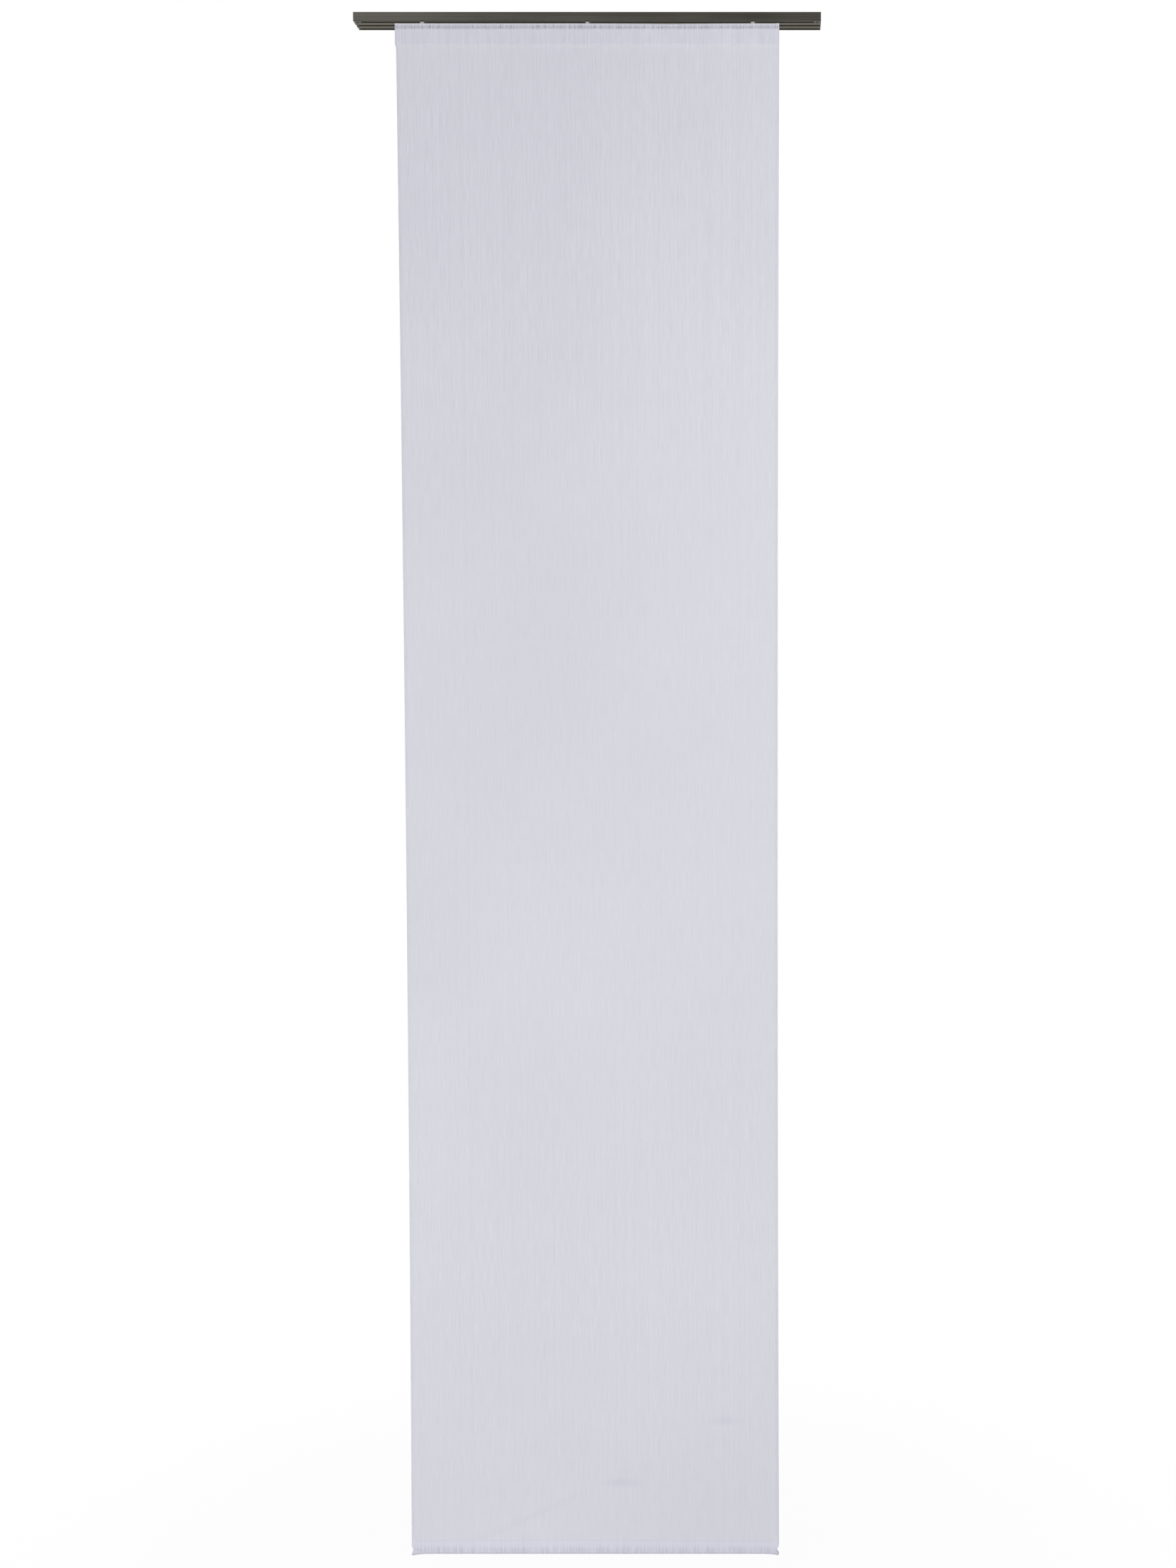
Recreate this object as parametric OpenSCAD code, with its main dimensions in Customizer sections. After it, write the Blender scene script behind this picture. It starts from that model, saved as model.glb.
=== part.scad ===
// Sliding panel curtain: a woven cloth panel on a carriage that runs in a three-track ceiling rail.
// X runs along the rail, the front faces -Y, Z is up.
// The origin is on the rail's top face, above the middle of the middle track.

/* [Rail] */
// Length of the rail
rail_length = 730; // [680:1:1400]
// Height of the rail
rail_height = 14; // [12:0.5:20]
// Distance between neighbouring track axes
track_pitch = 19; // [17:0.5:26]
// Width of each slot in the underside
slot_width = 6; // [5:0.2:8]
// Width of the chamber above each slot
chamber_width = 11.4; // [10.4:0.2:13]
// Thickness of the upright walls
rail_wall = 1.3; // [1:0.1:1.8]
// Thickness of the top web
rail_web = 1.5; // [1:0.1:2.5]
// Thickness of the lips that the gliders run on
rail_lip = 1.5; // [1:0.1:2.5]
// Radius on the long outer edges
rail_edge_r = 0.8; // [0.3:0.1:1]
// Distance between the two ceiling screws
screw_spacing = 500; // [300:10:600]
// Bore of each ceiling screw hole
screw_bore = 4.5; // [3.5:0.1:5.5]
// Bore of the driver hole below each ceiling screw hole
driver_bore = 9; // [7:0.5:10]

/* [End stops] */
// Length of an end stop along the track
stop_length = 10; // [7:0.5:14]
// Distance from the end of the rail to the stop
stop_inset = 1; // [0:0.5:10]
// Play of the stop between the walls of the track
stop_play = 0.2; // [0.1:0.05:0.4]
// Diameter of the grub screw
grub_d = 4; // [3:0.5:5]
// Length of the grub screw
grub_length = 8; // [6:0.5:9]
// Width across the flats of the grub screw's socket
grub_socket = 2; // [1.5:0.5:2.5]
// Gap between the grub screw and its thread in the stop
grub_gap = 0.1; // [0.05:0.05:0.2]

/* [Gliders] */
// Distance from the side of the cloth to the axis of an outer glider
glider_inset = 41.5; // [25:0.5:80]
// Length of a glider's head along the track
head_length = 16; // [13:0.5:22]
// Height of a glider's head
head_height = 4; // [3:0.25:6]
// Bevel round the top of the head
head_bevel = 0.8; // [0.3:0.1:1.2]
// Running gap between the head and the lips
run_gap = 0.3; // [0.2:0.05:0.6]
// Running gap between the glider and the sides of the track
side_gap = 0.4; // [0.3:0.05:0.6]
// Width of a glider's neck along the track
neck_length = 6; // [4:0.5:9]
// Radius on the upright edges of the neck and the shoulder
neck_round = 1; // [0.4:0.1:1.5]
// Height of the shoulder that bears on the carriage
shoulder_height = 1.5; // [1:0.1:2.5]
// Length of the clip that a glider holds the carriage with
clip_length = 12; // [9:0.5:16]

/* [Carriage] */
// Depth of the carriage from front to back
carriage_depth = 8; // [7:0.2:10]
// Thickness of the carriage's walls
carriage_wall = 1.3; // [1:0.1:1.5]
// Height of the channel along the top of the carriage
channel_height = 8.5; // [7:0.5:11]
// Width of the slot in the top of the channel
channel_slot = 3.4; // [3:0.1:4]
// Depth of the stiffening foot along the bottom of the carriage
foot_depth = 4; // [3:0.25:6]
// Distance from the side of the cloth to the end of the carriage
carriage_inset = 5; // [3:0.5:15]
// Thickness of the end plugs' plates
plug_plate = 1.5; // [1:0.1:2.5]
// Length of the end plugs' prongs
prong_length = 8; // [5:0.5:15]
// Gap between a clipped piece and the channel that holds it
clip_gap = 0.15; // [0.1:0.05:0.3]

/* [Tapes] */
// Width of the hook and loop tapes
tape_width = 25; // [20:1:40]
// Thickness of each tape's woven base
tape_base = 0.5; // [0.3:0.05:0.8]
// Height of the hooks and of the pile above the base
tape_pile = 0.8; // [0.5:0.05:1.2]
// Bare edge on both sides of the hooks and the pile
tape_edge = 1.5; // [1:0.25:3]
// Number of hook rows across the tape
hook_rows = 10; // [6:1:12]
// Thickness of one hook row
hook_width = 0.9; // [0.5:0.1:1]

/* [Cloth] */
// Width of the cloth panel
panel_width = 600; // [500:5:670]
// Height of the cloth panel
panel_height = 2450; // [1500:10:3000]
// Thickness of the cloth
cloth = 0.5; // [0.3:0.05:0.8]
// Gap between the rail and the top edge of the cloth
heading_gap = 2.7; // [1.5:0.1:6]
// Height of the heading that stands above the tapes
heading_stand = 6.5; // [4:0.5:12]
// Hem that reaches below the tapes
hem_margin = 1.5; // [1:0.25:6]
// Width of the side hems
side_hem = 5; // [3:0.5:15]
// Height of the tunnel along the bottom
tunnel_height = 23; // [21:0.5:50]
// Height of the seam that closes the tunnel
tunnel_seam = 3; // [2:0.25:5]
// Mean distance between the heavy vertical yarns
yarn_pitch = 5; // [4.5:0.5:12]
// Width of a heavy yarn
yarn_width = 1.6; // [0.8:0.1:2.4]
// Greatest height of a heavy yarn above the cloth
yarn_height = 0.25; // [0.1:0.05:0.4]

/* [Weight bar] */
// Height of the bar
bar_height = 10; // [8:0.5:13]
// Thickness of the bar
bar_thickness = 3; // [2:0.25:4]
// Distance from the side of the cloth to the end of a cap
bar_inset = 4; // [2:0.5:15]
// Wall of the caps
cap_wall = 1; // [0.6:0.1:1.5]
// Length of the caps
cap_length = 14; // [8:0.5:25]
// Thickness of the caps' end walls
cap_end = 2; // [1:0.25:3]
// Gap between the bar and its caps
cap_gap = 0.1; // [0.05:0.05:0.2]
// Gap between the caps and the cloth
pocket_gap = 0.3; // [0.2:0.05:0.6]

/* [Hidden] */
$fn = 48;
cut = 1;
left = -1;
right = 1;
TRACKS = [-1, 0, 1];
RIBS = [-0.5, 0.5];

bronze = [0.33, 0.32, 0.29];
white_plastic = [0.93, 0.93, 0.92];
black_plastic = [0.08, 0.08, 0.09];
bright_metal = [0.72, 0.73, 0.75];
tape_white = [0.9, 0.9, 0.92];
cloth_white = [0.83, 0.83, 0.87];

// Levels of the rail
rail_depth = 2 * track_pitch + chamber_width + 2 * rail_wall;
chamber_height = rail_height - rail_web - rail_lip;
rail_under = -rail_height;
lip_top = rail_under + rail_lip;
front_track = -track_pitch;
stop_place = rail_length / 2 - stop_inset - stop_length / 2;

// Levels of the panel, from the rail down and from the track's axis forwards
cloth_top = rail_under - heading_gap;
cloth_bottom = cloth_top - panel_height;
carriage_top = cloth_top - heading_stand;
carriage_bottom = carriage_top - tape_width;
carriage_front = front_track - carriage_depth / 2;
tape_thickness = tape_base + tape_pile;
tape_join = carriage_front - tape_thickness;
hem_back = tape_join - tape_thickness;
hem_middle = hem_back - cloth;
cloth_front = hem_middle - cloth;
top_hem = heading_stand + tape_width + hem_margin;
carriage_length = panel_width - 2 * carriage_inset;

// Bar, caps and the tunnel that holds them, measured up from the fold
cap_height = bar_height + 2 * (cap_wall + cap_gap);
cap_thickness = bar_thickness + 2 * (cap_wall + cap_gap);
pocket_r = cap_thickness / 2 + pocket_gap;
pocket_straight = cap_height - cap_thickness;
pocket_low = cloth + pocket_r;
cap_span = panel_width - 2 * bar_inset;
bar_length = cap_span - 2 * (cap_end + cap_gap);

// Heavy yarns of the weave, spread unevenly over the field between the side hems
yarn_field = panel_width - 2 * side_hem;
yarn_count = floor(yarn_field / yarn_pitch);
yarn_step = yarn_field / yarn_count;
yarn_drift = 0.8 * (yarn_step - yarn_width) / 2;
yarn_shift = rands(-yarn_drift, yarn_drift, yarn_count, 11);
yarn_rise = rands(0.35 * yarn_height, yarn_height, yarn_count, 23);

function yarn_x(i) = -yarn_field / 2 + (i + 0.5) * yarn_step + yarn_shift[i];

// Extrudes an outline drawn in depth and height along the rail
module along_rail(length) {
    rotate([90, 0, 90])
        linear_extrude(length, center = true)
            children();
}

// Rectangle with round corners, centred
module rounded_rectangle(length, width, r) {
    square([length - 2 * r, width], center = true);
    square([length, width - 2 * r], center = true);
    for (x = [left, right], y = [left, right])
        translate([x * (length / 2 - r), y * (width / 2 - r)])
            circle(r);
}

// Rectangle with half-round ends, longest along the first axis
module slot_shape(length, width) {
    square([length - width, width], center = true);
    for (side = [left, right])
        translate([side * (length - width) / 2, 0])
            circle(d = width);
}

module rail_edge_round(side, level, up) {
    translate([side * (rail_depth / 2 - rail_edge_r), level + up * rail_edge_r])
        difference() {
            translate([side > 0 ? 0 : -rail_edge_r - cut, up > 0 ? -rail_edge_r - cut : 0])
                square(rail_edge_r + cut);
            circle(rail_edge_r);
        }
}

module rail_section() {
    difference() {
        translate([-rail_depth / 2, rail_under])
            square([rail_depth, rail_height]);
        for (track = TRACKS)
            translate([track * track_pitch, 0]) {
                translate([-chamber_width / 2, lip_top])
                    square([chamber_width, chamber_height]);
                translate([-slot_width / 2, rail_under - cut])
                    square([slot_width, rail_lip + 2 * cut]);
            }
        rib_hollow = track_pitch - chamber_width - 2 * rail_wall;
        for (rib = RIBS)
            translate([rib * track_pitch - rib_hollow / 2, lip_top])
                square([rib_hollow, chamber_height]);
        for (side = [left, right]) {
            rail_edge_round(side, rail_under, 1);
            rail_edge_round(side, 0, -1);
        }
    }
}

module rail_profile() {
    color(bronze)
        difference() {
            along_rail(rail_length)
                rail_section();
            for (side = [left, right])
                translate([side * screw_spacing / 2, 0, 0]) {
                    translate([0, 0, -rail_web - cut])
                        cylinder(d = screw_bore, h = rail_web + 2 * cut);
                    translate([0, 0, rail_under - cut])
                        cylinder(d = driver_bore, h = rail_lip + cut + cut / 2);
                }
        }
}

// Block that sits on the lips, with a tongue in the slot and a threaded bore from below
module end_stop(side) {
    block_height = chamber_height - 1;
    color(black_plastic)
        translate([side * stop_place, front_track, 0])
            difference() {
                union() {
                    translate([0, 0, lip_top + block_height / 2])
                        cube([stop_length, chamber_width - 2 * stop_play, block_height], center = true);
                    translate([0, 0, rail_under + (rail_lip + cut) / 2])
                        cube([stop_length, slot_width - 2 * stop_play, rail_lip + cut], center = true);
                }
                translate([0, 0, rail_under - cut])
                    cylinder(d = grub_d + 2 * grub_gap, h = rail_height);
            }
}

// Grub screw whose tip bears on the rail's web
module end_stop_screw(side) {
    color(bright_metal)
        translate([side * stop_place, front_track, -rail_web - grub_length])
            difference() {
                cylinder(d = grub_d, h = grub_length);
                translate([0, 0, -cut])
                    cylinder(d = grub_socket / cos(30), h = cut + grub_length / 3, $fn = 6);
            }
}

// Head of a glider: bevelled block with round ends, resting on its running face
module glider_head() {
    head_width = chamber_width - 2 * side_gap;
    end_r = head_width / 2;
    wall = head_height - head_bevel;
    for (side = [left, right])
        translate([side * (head_length / 2 - end_r), 0, 0]) {
            cylinder(r = end_r, h = wall);
            translate([0, 0, wall])
                cylinder(r1 = end_r, r2 = end_r - head_bevel, h = head_bevel);
        }
    along_rail(head_length - head_width)
        polygon([
            [-end_r, 0], [end_r, 0], [end_r, wall],
            [end_r - head_bevel, head_height], [head_bevel - end_r, head_height], [-end_r, wall]
        ]);
}

module glider(place) {
    head_low = lip_top + run_gap;
    neck_width = slot_width - 2 * side_gap;
    neck_top = head_low + head_height / 2;
    throat = carriage_wall + 2 * clip_gap;
    clip_height = channel_height - 2 * carriage_wall - 2 * clip_gap;
    clip_width = carriage_depth - 2 * carriage_wall - 2 * clip_gap;
    color(white_plastic)
        translate([place * (panel_width / 2 - glider_inset), front_track, 0]) {
            translate([0, 0, head_low])
                glider_head();
            translate([0, 0, carriage_top])
                linear_extrude(neck_top - carriage_top)
                    rounded_rectangle(neck_length, neck_width, neck_round);
            translate([0, 0, carriage_top])
                linear_extrude(shoulder_height)
                    rounded_rectangle(clip_length, carriage_depth - 2 * side_gap, neck_round);
            translate([0, 0, carriage_top - throat / 2])
                cube([clip_length, channel_slot - 2 * clip_gap, throat], center = true);
            translate([0, 0, carriage_top - carriage_wall - clip_gap - clip_height / 2])
                cube([clip_length, clip_width, clip_height], center = true);
        }
}

module carriage_outline() {
    translate([carriage_front, carriage_top - channel_height])
        square([carriage_depth, channel_height]);
    translate([carriage_front, carriage_bottom])
        square([carriage_wall, tape_width]);
    translate([carriage_front, carriage_bottom])
        square([foot_depth, carriage_wall]);
    translate([carriage_front + foot_depth, carriage_bottom + carriage_wall / 2])
        circle(d = carriage_wall);
}

module channel_hollow(gap) {
    translate([carriage_front + carriage_wall + gap, carriage_top - channel_height + carriage_wall + gap])
        square([carriage_depth - 2 * (carriage_wall + gap), channel_height - 2 * (carriage_wall + gap)]);
}

module carriage_profile() {
    color(bright_metal)
        along_rail(carriage_length)
            difference() {
                carriage_outline();
                channel_hollow(0);
                translate([front_track - channel_slot / 2, carriage_top - carriage_wall - cut / 2])
                    square([channel_slot, carriage_wall + cut]);
            }
}

module carriage_plug(side) {
    color(white_plastic) {
        translate([side * (carriage_length + plug_plate) / 2, 0, 0])
            along_rail(plug_plate)
                carriage_outline();
        translate([side * (carriage_length - prong_length) / 2, 0, 0])
            along_rail(prong_length)
                channel_hollow(clip_gap);
    }
}

// Both tapes lie base to pile, so one outline drawn from its base upwards serves them
module tape_outline(rows) {
    field = tape_width - 2 * tape_edge;
    square([tape_base, tape_width]);
    if (rows == 1)
        translate([tape_base / 2, tape_edge])
            square([tape_base / 2 + tape_pile, field]);
    else
        for (row = [0 : rows - 1])
            translate([tape_base / 2, tape_edge + row * (field - hook_width) / (rows - 1)])
                square([tape_base / 2 + tape_pile, hook_width]);
}

module hook_tape() {
    color(tape_white)
        along_rail(carriage_length)
            translate([carriage_front, carriage_bottom])
                mirror([1, 0])
                    tape_outline(hook_rows);
}

module loop_tape() {
    color(tape_white)
        along_rail(carriage_length)
            translate([hem_back, carriage_bottom])
                tape_outline(1);
}

// Section of the front layer: flat at the back, with the heavy yarns standing out at the front
module weave_section() {
    polygon(concat(
        [[-panel_width / 2, hem_middle], [-panel_width / 2, cloth_front]],
        [for (i = [0 : yarn_count - 1], step = [-1, 0, 1])
            [yarn_x(i) + step * yarn_width / 2, cloth_front - (step == 0 ? yarn_rise[i] : 0)]],
        [[panel_width / 2, cloth_front], [panel_width / 2, hem_middle]]
    ));
}

// Drop-shaped section of the tunnel, grown by one cloth for its outer face
module tunnel_outline(grow, top, top_width) {
    hull() {
        translate([0, pocket_low])
            circle(pocket_r + grow);
        translate([0, pocket_low + pocket_straight])
            circle(pocket_r + grow);
        translate([-top_width / 2, top - tunnel_seam / 2])
            square([top_width, tunnel_seam / 2]);
    }
}

module curtain_fabric() {
    tunnel_top = cloth_bottom + tunnel_height;
    hem_low = cloth_top - top_hem;
    sewn = cloth / 2;
    color(cloth_white) {
        translate([0, 0, tunnel_top - tunnel_seam / 4])
            linear_extrude(panel_height - tunnel_height - cloth + tunnel_seam / 4)
                weave_section();
        along_rail(panel_width) {
            translate([hem_middle, cloth_top - cloth])
                circle(cloth);
            translate([hem_middle - sewn, hem_low])
                square([cloth + sewn, top_hem - cloth]);
        }
        for (side = [left, right])
            translate([side * (panel_width - side_hem) / 2, hem_middle - sewn, tunnel_top - sewn])
                linear_extrude(hem_low - tunnel_top + 2 * sewn)
                    translate([-side_hem / 2, 0])
                        square([side_hem, cloth + sewn]);
        along_rail(panel_width)
            translate([hem_middle, cloth_bottom])
                difference() {
                    tunnel_outline(cloth, tunnel_height, 2 * cloth);
                    tunnel_outline(0, tunnel_height - tunnel_seam, cloth / 4);
                }
    }
}

// Flat section with round edges, upright in the tunnel
module bar_section(grow) {
    translate([hem_middle, cloth_bottom + pocket_low + pocket_straight / 2])
        rotate(90)
            slot_shape(bar_height + 2 * grow, bar_thickness + 2 * grow);
}

module weight_bar() {
    color(bright_metal)
        along_rail(bar_length)
            bar_section(0);
}

module bar_cap(side) {
    color(white_plastic)
        difference() {
            translate([side * (cap_span - cap_length) / 2, 0, 0])
                along_rail(cap_length)
                    bar_section(cap_wall + cap_gap);
            along_rail(bar_length + 2 * cap_gap)
                bar_section(cap_gap);
        }
}

rail_profile();
end_stop(left);  // end_stop_left
end_stop(right);  // end_stop_right
end_stop_screw(left);  // end_stop_screw_left
end_stop_screw(right);  // end_stop_screw_right
glider(left);  // glider_left
glider(0);  // glider_centre
glider(right);  // glider_right
carriage_profile();
carriage_plug(left);  // carriage_plug_left
carriage_plug(right);  // carriage_plug_right
hook_tape();
loop_tape();
curtain_fabric();
weight_bar();
bar_cap(left);  // bar_cap_left
bar_cap(right);  // bar_cap_right
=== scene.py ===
# %% [markdown]
# # A sheer sliding panel, dressed in Blender
#
# The object is a panel curtain: one flat, sheer woven panel that hangs from a short aluminium ceiling rail
# with three tracks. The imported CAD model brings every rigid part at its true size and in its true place, so
# nothing here is scaled or fitted. This lesson sets the camera and the light, gives each rigid part its
# finish, and makes the one soft piece, the cloth, from the flat length that it is cut to.

import bisect
import math
import random

import bmesh
import bpy
from mathutils import Matrix, Vector, noise


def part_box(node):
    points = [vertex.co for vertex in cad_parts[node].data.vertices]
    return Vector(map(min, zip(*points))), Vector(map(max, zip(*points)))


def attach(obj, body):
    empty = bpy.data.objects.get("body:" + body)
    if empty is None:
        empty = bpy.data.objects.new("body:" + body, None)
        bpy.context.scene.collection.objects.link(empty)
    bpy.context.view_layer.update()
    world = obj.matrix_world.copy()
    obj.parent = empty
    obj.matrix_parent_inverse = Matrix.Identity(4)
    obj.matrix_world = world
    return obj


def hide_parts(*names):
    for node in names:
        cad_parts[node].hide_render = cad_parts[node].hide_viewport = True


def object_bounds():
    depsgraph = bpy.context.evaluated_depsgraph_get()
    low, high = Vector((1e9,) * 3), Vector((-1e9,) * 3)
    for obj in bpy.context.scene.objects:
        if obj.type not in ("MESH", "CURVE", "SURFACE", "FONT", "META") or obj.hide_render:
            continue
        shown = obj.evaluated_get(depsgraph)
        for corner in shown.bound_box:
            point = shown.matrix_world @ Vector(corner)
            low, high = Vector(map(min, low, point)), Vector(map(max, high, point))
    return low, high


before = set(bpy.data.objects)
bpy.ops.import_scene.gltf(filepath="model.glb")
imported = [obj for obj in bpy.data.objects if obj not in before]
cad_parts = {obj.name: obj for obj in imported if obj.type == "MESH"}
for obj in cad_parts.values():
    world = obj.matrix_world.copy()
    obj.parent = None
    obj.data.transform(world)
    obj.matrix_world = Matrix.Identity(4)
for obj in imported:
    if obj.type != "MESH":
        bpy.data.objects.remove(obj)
cad_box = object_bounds()
MM = 0.001
scene = bpy.context.scene
scene.view_settings.view_transform = "Standard"
print("parts from the CAD model:", ", ".join(sorted(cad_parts)))

# %% [markdown]
# ## The camera
# The panel was photographed square on, from about 3.5 m away and a little above its middle, with the camera
# standing to the right of it. The picture was then cut so that the panel sits left of the lens axis. A
# turned camera would make the rail run downhill, so the lens is shifted sideways instead, as on a view
# camera. The camera only looks down by a few degrees.

# %% Set up the camera
LOOKS_DOWN = math.radians(3.719)
camera_data = bpy.data.cameras.new("view_camera")
camera_data.sensor_fit = "VERTICAL"
camera_data.sensor_height = 36.0
camera_data.lens = 49.70
camera_data.shift_x = -0.1198
camera = bpy.data.objects.new("view_camera", camera_data)
camera.location = (0.2946, -3.473, -0.9828)
camera.rotation_euler = (math.radians(90) - LOOKS_DOWN, 0.0, 0.0)
scene.collection.objects.link(camera)
scene.camera = camera
print("camera stands", round(-camera.location.y, 2), "m in front of the rail")

# %% [markdown]
# ## Steps in shader nodes
# Every finish below is a network of small nodes. Each helper adds one step to it, joins it up and hands back
# the socket that carries the result, so that a finish reads as a list of steps. An operand may be a number
# or a socket. The last helper here tells rays that see a surface from rays that light it.

# %% Define the first node steps
def feed(tree, socket, operand):
    """Set a socket to a number, or link another socket to it."""
    if isinstance(operand, (int, float)):
        socket.default_value = operand
    else:
        tree.links.new(operand, socket)


def math_node(tree, operation, *operands):
    """Add a Math node with one or two operands."""
    node = tree.nodes.new("ShaderNodeMath")
    node.operation = operation
    for socket, operand in zip(node.inputs, operands):
        feed(tree, socket, operand)
    return node.outputs[0]


def seen_directly(tree):
    """Return a value that is 1 for camera, glossy and transmission rays, and 0 for light."""
    rays = tree.nodes.new("ShaderNodeLightPath").outputs
    seen = math_node(tree, "MAXIMUM", rays["Is Camera Ray"], rays["Is Glossy Ray"])
    return math_node(tree, "MAXIMUM", seen, rays["Is Transmission Ray"])


print("node steps:", feed.__name__, math_node.__name__, seen_directly.__name__)

# %% [markdown]
# ## A white studio
# The background is plain white. A brighter world would give that too, but it would also bleach the cloth.
# Here the world has two levels: what the camera, reflections and see-through places meet is white at
# strength 1, and what lights the object is lower, so that each colour renders about as it is written.

# %% Make the world
WHITE = (1.0, 1.0, 1.0, 1.0)
ROOM_LIGHT = 0.46
BACKDROP = 1.0
world = bpy.data.worlds.new("white_studio")
world.use_nodes = True
scene.world = world
tree = world.node_tree
tree.nodes.clear()
world_mix = tree.nodes.new("ShaderNodeMixShader")
tree.links.new(seen_directly(tree), world_mix.inputs[0])
for strength, socket in ((ROOM_LIGHT, world_mix.inputs[1]), (BACKDROP, world_mix.inputs[2])):
    level = tree.nodes.new("ShaderNodeBackground")
    level.inputs["Color"].default_value = WHITE
    level.inputs["Strength"].default_value = strength
    tree.links.new(level.outputs[0], socket)
world_out = tree.nodes.new("ShaderNodeOutputWorld")
tree.links.new(world_mix.outputs[0], world_out.inputs["Surface"])
print("world lights at", ROOM_LIGHT, "and shows white")

# %% [markdown]
# ## Softboxes
# Flat cloth shows its ribs only where light rakes across it. A large softbox stands front right for the
# cloth, and a low one keeps its bottom as light as its middle. A smaller, cooler one, high on the left, puts
# the glow on the left end of the rail's fascia, which fades towards the right as on the real anodised face.
# A small lamp close by lifts the upper right of the cloth. Two large ones behind the panel light its back,
# so that the cloth keeps its colour seen from any side.

# %% Place the softboxes
def softbox(name, spot, target, width, height, watts, tone=(1.0, 1.0, 1.0)):
    """Add a rectangular area lamp that faces its target."""
    lamp_data = bpy.data.lights.new(name, "AREA")
    lamp_data.shape = "RECTANGLE"
    lamp_data.size = width
    lamp_data.size_y = height
    lamp_data.energy = watts
    lamp_data.color = tone
    lamp = bpy.data.objects.new(name, lamp_data)
    lamp.location = spot
    lamp.rotation_euler = (Vector(target) - Vector(spot)).to_track_quat("-Z", "Y").to_euler()
    scene.collection.objects.link(lamp)


COOL = (0.88, 0.92, 1.0)
softbox("softbox_right", (1.9, -3.1, -1.3), (0.0, 0.0, -1.4), width=1.4, height=2.4, watts=33.5)
softbox("softbox_left", (-1.6, -3.3, 0.9), (0.0, 0.0, -0.6), width=1.1, height=1.1, watts=31.0, tone=COOL)
softbox("softbox_low", (-1.2, -2.35, -2.40), (0.05, 0.0, -2.3), width=1.6, height=0.5, watts=26.0)
softbox("softbox_high", (1.0, -0.75, -0.40), (0.25, 0.0, -0.42), width=0.25, height=0.5, watts=1.7)
softbox("softbox_back_right", (2.4, 2.6, -1.0), (0.0, 0.0, -1.3), width=2.6, height=3.0, watts=44.0)
softbox("softbox_back_left", (-2.4, 2.6, -1.0), (0.0, 0.0, -1.3), width=2.6, height=3.0, watts=44.0)

# %% [markdown]
# ## The floor
# The panel ends a few centimetres above the floor. The floor is one large flat face, part of the studio and
# not of the object.

# %% Lay the floor
FLOOR_GAP = 45 * MM
FLOOR_REACH = 6.0
floor_height = cad_box[0].z - FLOOR_GAP
floor_mesh = bpy.data.meshes.new("floor")
floor_form = bmesh.new()
bmesh.ops.create_grid(floor_form, x_segments=1, y_segments=1, size=FLOOR_REACH)
bmesh.ops.translate(floor_form, verts=floor_form.verts, vec=(0.0, 0.0, floor_height))
floor_form.to_mesh(floor_mesh)
floor_form.free()
floor = bpy.data.objects.new("floor", floor_mesh)
scene.collection.objects.link(floor)
print("floor at", round(floor_height, 3), "m")

# %% [markdown]
# ### Places and ranges
# A pattern needs to know where on the piece it is. Object coordinates give that in metres, and they can be
# drawn out along one axis or pressed flat. A value that is found there is brought to the range it is used in.

# %% Define the steps for places and ranges
def object_place(tree):
    """Return the place of each point in the piece's own coordinates."""
    return tree.nodes.new("ShaderNodeTexCoord").outputs["Object"]


def stretch(tree, place, x, y, z):
    """Scale a place by a factor of its own along each axis."""
    factors = tree.nodes.new("ShaderNodeCombineXYZ")
    for socket, factor in zip(factors.inputs, (x, y, z)):
        feed(tree, socket, factor)
    node = tree.nodes.new("ShaderNodeVectorMath")
    node.operation = "MULTIPLY"
    tree.links.new(place, node.inputs[0])
    tree.links.new(factors.outputs[0], node.inputs[1])
    return node.outputs[0]


def times(tree, first, second):
    """Multiply two values."""
    return math_node(tree, "MULTIPLY", first, second)


def remap(tree, value, low, high, to_low, to_high, soft=False):
    """Stretch a value from one range to another, held at both ends, and eased into them if soft."""
    node = tree.nodes.new("ShaderNodeMapRange")
    if soft:
        node.interpolation_type = "SMOOTHSTEP"
    node.inputs["From Min"].default_value = low
    node.inputs["From Max"].default_value = high
    node.inputs["To Min"].default_value = to_low
    node.inputs["To Max"].default_value = to_high
    tree.links.new(value, node.inputs["Value"])
    return node.outputs[0]


print("node steps:", object_place.__name__, stretch.__name__, times.__name__, remap.__name__)

# %% [markdown]
# ### The floor's finish
# The floor is pale and matt for the light that bounces from it. For the camera it is nearly all white, with
# a share of the matt surface left in near the panel, so that the shadow stays. That share fades out with
# distance, and no edge of the floor shows.

# %% Make the floor white
SHADOW_FULL = 0.3
SHADOW_GONE = 1.3
WHITE_NEAR = 0.93
floor_finish = bpy.data.materials.new("floor_white")
floor_finish.use_nodes = True
tree = floor_finish.node_tree
tree.nodes.clear()
floor_far = tree.nodes.new("ShaderNodeVectorMath")
floor_far.operation = "LENGTH"
tree.links.new(stretch(tree, object_place(tree), 1.0, 1.0, 0.0), floor_far.inputs[0])
floor_fade = remap(tree, floor_far.outputs["Value"], SHADOW_FULL, SHADOW_GONE, WHITE_NEAR, 1.0, soft=True)
floor_matt = tree.nodes.new("ShaderNodeBsdfDiffuse")
floor_matt.inputs["Color"].default_value = (0.82, 0.82, 0.82, 1.0)
floor_glow = tree.nodes.new("ShaderNodeEmission")
floor_glow.inputs["Color"].default_value = WHITE
floor_mix = tree.nodes.new("ShaderNodeMixShader")
tree.links.new(times(tree, floor_fade, seen_directly(tree)), floor_mix.inputs[0])
tree.links.new(floor_matt.outputs[0], floor_mix.inputs[1])
tree.links.new(floor_glow.outputs[0], floor_mix.inputs[2])
floor_out = tree.nodes.new("ShaderNodeOutputMaterial")
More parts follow.
